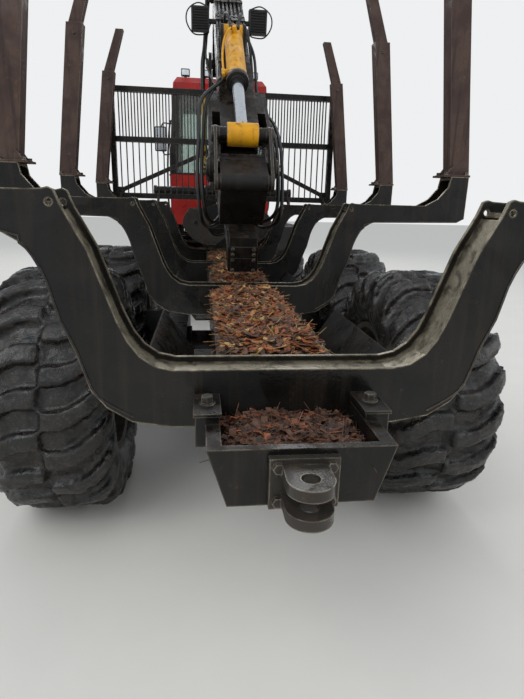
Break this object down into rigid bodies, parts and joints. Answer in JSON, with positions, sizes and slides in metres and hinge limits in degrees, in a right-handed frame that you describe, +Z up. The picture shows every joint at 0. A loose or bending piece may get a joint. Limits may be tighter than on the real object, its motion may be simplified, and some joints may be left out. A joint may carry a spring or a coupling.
{
  "type": "forestry forwarder",
  "caption": "Articulated log-hauling machine on bogie wheels with open log bunks and stakes, load gate, folding crane with grapple, cab and tilting hood.",
  "frame": {"origin": "middle of the machine's length and width, on the ground under the tyres", "axes": "+X to the machine's right, +Y forward towards the hood, +Z up"},
  "size_m": [2.714, 9.566, 3.7919],
  "materials": {
    "weathered_steel": "black paint worn to brown steel, wet and dirty",
    "stake_steel": "bare steel with brown rust",
    "bare_steel": "worn bare steel",
    "yellow_paint": "yellow paint, chipped",
    "red_paint": "red paint",
    "black_paint": "black paint",
    "rod_chrome": "hard chrome",
    "window_glass": "clear safety glass",
    "cab_trim": "dark cloth and plastic",
    "lamp_plastic": "black lamp body",
    "tyre_rubber": "black rubber caked with mud",
    "rim_paint": "dirty grey paint"
  },
  "bodies": {
    "rear": {"rear_frame": "weathered_steel", "rear_axle": "weathered_steel", "bunks": "weathered_steel", "stakes": "stake_steel", "gate": "weathered_steel", "rear_bumper": "weathered_steel", "tow_clevis": "bare_steel", "slew_base": "weathered_steel"},
    "front": {"front_frame": "weathered_steel", "front_axle": "weathered_steel", "cab_shell": "red_paint", "cab_glass": "window_glass", "cab_interior": "cab_trim", "engine": "bare_steel", "front_guard": "weathered_steel", "fenders": "black_paint"},
    "column": {"column": "black_paint"},
    "main_boom": {"main_boom": "weathered_steel", "boom_lamps": "lamp_plastic"},
    "lift_barrel": {"lift_barrel": "yellow_paint"},
    "lift_rod": {"lift_rod": "rod_chrome"},
    "fold_barrel": {"fold_barrel": "yellow_paint"},
    "fold_rod": {"fold_rod": "rod_chrome"},
    "fold_rocker": {"fold_rocker": "weathered_steel"},
    "fold_link": {"fold_link": "bare_steel"},
    "outer_boom": {"outer_boom": "weathered_steel"},
    "extension": {"extension": "weathered_steel"},
    "grapple_link": {"grapple_link": "weathered_steel"},
    "grapple_head": {"grapple_head": "weathered_steel"},
    "jaw_left": {"jaw_left": "bare_steel"},
    "jaw_right": {"jaw_right": "bare_steel"},
    "grip_barrel": {"grip_barrel": "weathered_steel"},
    "grip_rod": {"grip_rod": "rod_chrome"},
    "steer_barrel_left": {"steer_barrel_left": "yellow_paint"},
    "steer_barrel_right": {"steer_barrel_right": "yellow_paint"},
    "steer_rod_left": {"steer_rod_left": "rod_chrome"},
    "steer_rod_right": {"steer_rod_right": "rod_chrome"},
    "hood": {"hood": "red_paint"},
    "door_left": {"door_left": "red_paint", "door_glass_left": "window_glass"},
    "door_right": {"door_right": "red_paint", "door_glass_right": "window_glass"},
    "wheel_1_left": {"tyre_1_left": "tyre_rubber", "rim_1_left": "rim_paint"},
    "wheel_1_right": {"tyre_1_right": "tyre_rubber", "rim_1_right": "rim_paint"},
    "wheel_2_left": {"tyre_2_left": "tyre_rubber", "rim_2_left": "rim_paint"},
    "wheel_2_right": {"tyre_2_right": "tyre_rubber", "rim_2_right": "rim_paint"},
    "wheel_3_left": {"tyre_3_left": "tyre_rubber", "rim_3_left": "rim_paint"},
    "wheel_3_right": {"tyre_3_right": "tyre_rubber", "rim_3_right": "rim_paint"},
    "wheel_4_left": {"tyre_4_left": "tyre_rubber", "rim_4_left": "rim_paint"},
    "wheel_4_right": {"tyre_4_right": "tyre_rubber", "rim_4_right": "rim_paint"}
  },
  "joints": [
    {"name": "steering", "type": "hinge", "parent": "rear", "child": "front", "pos_m": [0, 1.313, 0.922], "axis": [0, 0, 1], "range_deg": [-40, 40]},
    {"name": "steer_barrel_left_turn", "type": "hinge", "parent": "rear", "child": "steer_barrel_left", "pos_m": [-0.31, 0.413, 0.94], "axis": [0, 0, 1], "range_deg": [-4.47, 4.47]},
    {"name": "steer_rod_left_slide", "type": "slide", "parent": "steer_barrel_left", "child": "steer_rod_left", "axis": [0.049, 0.9988, 0], "range_m": [-0.1848, 0.1848]},
    {"name": "steer_barrel_right_turn", "type": "hinge", "parent": "rear", "child": "steer_barrel_right", "pos_m": [0.31, 0.413, 0.94], "axis": [0, 0, 1], "range_deg": [-4.47, 4.47]},
    {"name": "steer_rod_right_slide", "type": "slide", "parent": "steer_barrel_right", "child": "steer_rod_right", "axis": [-0.049, 0.9988, 0], "range_m": [-0.1848, 0.1848]},
    {"name": "wheel_1_left_roll", "type": "hinge", "parent": "rear", "child": "wheel_1_left", "pos_m": [-0.975, -2.937, 0.665], "axis": [1, 0, 0], "continuous": true},
    {"name": "wheel_1_right_roll", "type": "hinge", "parent": "rear", "child": "wheel_1_right", "pos_m": [0.975, -2.937, 0.665], "axis": [1, 0, 0], "continuous": true},
    {"name": "wheel_2_left_roll", "type": "hinge", "parent": "rear", "child": "wheel_2_left", "pos_m": [-0.975, -1.437, 0.665], "axis": [1, 0, 0], "continuous": true},
    {"name": "wheel_2_right_roll", "type": "hinge", "parent": "rear", "child": "wheel_2_right", "pos_m": [0.975, -1.437, 0.665], "axis": [1, 0, 0], "continuous": true},
    {"name": "wheel_3_left_roll", "type": "hinge", "parent": "front", "child": "wheel_3_left", "pos_m": [-0.975, 2.313, 0.665], "axis": [1, 0, 0], "continuous": true},
    {"name": "wheel_3_right_roll", "type": "hinge", "parent": "front", "child": "wheel_3_right", "pos_m": [0.975, 2.313, 0.665], "axis": [1, 0, 0], "continuous": true},
    {"name": "wheel_4_left_roll", "type": "hinge", "parent": "front", "child": "wheel_4_left", "pos_m": [-0.975, 3.813, 0.665], "axis": [1, 0, 0], "continuous": true},
    {"name": "wheel_4_right_roll", "type": "hinge", "parent": "front", "child": "wheel_4_right", "pos_m": [0.975, 3.813, 0.665], "axis": [1, 0, 0], "continuous": true},
    {"name": "lift", "type": "hinge", "parent": "column", "child": "main_boom", "pos_m": [0, 0.663, 3.2], "axis": [-1, 0, 0], "range_deg": [0, 80]},
    {"name": "slew", "type": "hinge", "parent": "rear", "child": "column", "pos_m": [0, 0.663, 1.9], "axis": [0, 0, 1], "range_deg": [-190, 190]},
    {"name": "lift_barrel_tilt", "type": "hinge", "parent": "column", "child": "lift_barrel", "pos_m": [0, 0.463, 2.2], "axis": [-1, 0, 0], "range_deg": [0, 14.86]},
    {"name": "lift_rod_slide", "type": "slide", "parent": "lift_barrel", "child": "lift_rod", "axis": [0, -0.1595, 0.9872], "range_m": [0, 0.3595]},
    {"name": "fold", "type": "hinge", "parent": "main_boom", "child": "outer_boom", "pos_m": [0, -2.437, 1.89], "axis": [-1, 0, 0], "range_deg": [0, 145]},
    {"name": "fold_rocker_turn", "type": "hinge", "parent": "main_boom", "child": "fold_rocker", "pos_m": [0, -2.1303, 2.07957], "axis": [-1, 0, 0], "range_deg": [0, 84.31]},
    {"name": "fold_link_turn", "type": "hinge", "parent": "fold_rocker", "child": "fold_link", "pos_m": [0, -2.43686, 2.08031], "axis": [1, 0, 0], "range_deg": [0, 90.76]},
    {"name": "fold_barrel_tilt", "type": "hinge", "parent": "main_boom", "child": "fold_barrel", "pos_m": [0, -1.28057, 2.95888], "axis": [-1, 0, 0], "range_deg": [0, 6]},
    {"name": "fold_rod_slide", "type": "slide", "parent": "fold_barrel", "child": "fold_rod", "axis": [0, 0.7962, 0.605], "range_m": [0, 0.4019]},
    {"name": "reach", "type": "slide", "parent": "outer_boom", "child": "extension", "axis": [0, 0.9532, 0.3024], "range_m": [0, 1.5]},
    {"name": "grapple_swing", "type": "hinge", "parent": "extension", "child": "grapple_link", "pos_m": [0, -0.387, 2.08918], "axis": [1, 0, 0], "range_deg": [-15, 215]},
    {"name": "rotator", "type": "hinge", "parent": "grapple_link", "child": "grapple_head", "pos_m": [0, -0.387, 1.69918], "axis": [0, 0, 1], "continuous": true},
    {"name": "grip", "type": "hinge", "parent": "grapple_head", "child": "jaw_right", "pos_m": [0.31, -0.387, 1.5], "axis": [0, -1, 0], "range_deg": [0, 70]},
    {"name": "grip_left", "type": "hinge", "parent": "grapple_head", "child": "jaw_left", "pos_m": [-0.31, -0.387, 1.5], "axis": [0, 1, 0], "range_deg": [0, 70]},
    {"name": "grip_barrel_tilt", "type": "hinge", "parent": "jaw_left", "child": "grip_barrel", "pos_m": [-0.354, -0.387, 1.595], "axis": [0, -1, 0], "range_deg": [0, 70]},
    {"name": "grip_rod_slide", "type": "slide", "parent": "grip_barrel", "child": "grip_rod", "axis": [-1, 0, 0], "range_m": [0, 0.24]},
    {"name": "door_left_swing", "type": "hinge", "parent": "front", "child": "door_left", "pos_m": [-0.699, 3.013, 1.9], "axis": [0, 0, -1], "range_deg": [0, 75]},
    {"name": "door_right_swing", "type": "hinge", "parent": "front", "child": "door_right", "pos_m": [0.699, 3.013, 1.9], "axis": [0, 0, 1], "range_deg": [0, 75]},
    {"name": "hood_tilt", "type": "hinge", "parent": "front", "child": "hood", "pos_m": [0, 4.653, 1.188], "axis": [-1, 0, 0], "range_deg": [0, 60]}
  ],
  "couplings": [
    {"joint": "steer_barrel_left_turn", "follows": "steering", "ratio": 0.085902},
    {"joint": "steer_rod_left_slide", "follows": "steering", "m_per_rad": -0.24974},
    {"joint": "steer_barrel_right_turn", "follows": "steering", "ratio": 0.085902},
    {"joint": "steer_rod_right_slide", "follows": "steering", "m_per_rad": 0.24974},
    {"joint": "slew", "follows": "lift", "ratio": 0.2},
    {"joint": "lift_barrel_tilt", "follows": "lift", "ratio": 0.18213},
    {"joint": "lift_rod_slide", "follows": "lift", "m_per_rad": 0.25494},
    {"joint": "fold", "follows": "lift", "ratio": 0.35},
    {"joint": "fold_rocker_turn", "follows": "lift", "ratio": 0.18899},
    {"joint": "fold_link_turn", "follows": "lift", "ratio": 0.10692},
    {"joint": "fold_barrel_tilt", "follows": "lift", "ratio": 0.029299},
    {"joint": "fold_rod_slide", "follows": "lift", "m_per_rad": 0.039959},
    {"joint": "reach", "follows": "lift", "m_per_rad": 0.57296},
    {"joint": "grapple_swing", "follows": "lift", "ratio": 1.35},
    {"joint": "grip_left", "follows": "grip", "ratio": 1},
    {"joint": "grip_barrel_tilt", "follows": "grip", "ratio": 1},
    {"joint": "grip_rod_slide", "follows": "grip", "m_per_rad": 0.19353}
  ]
}
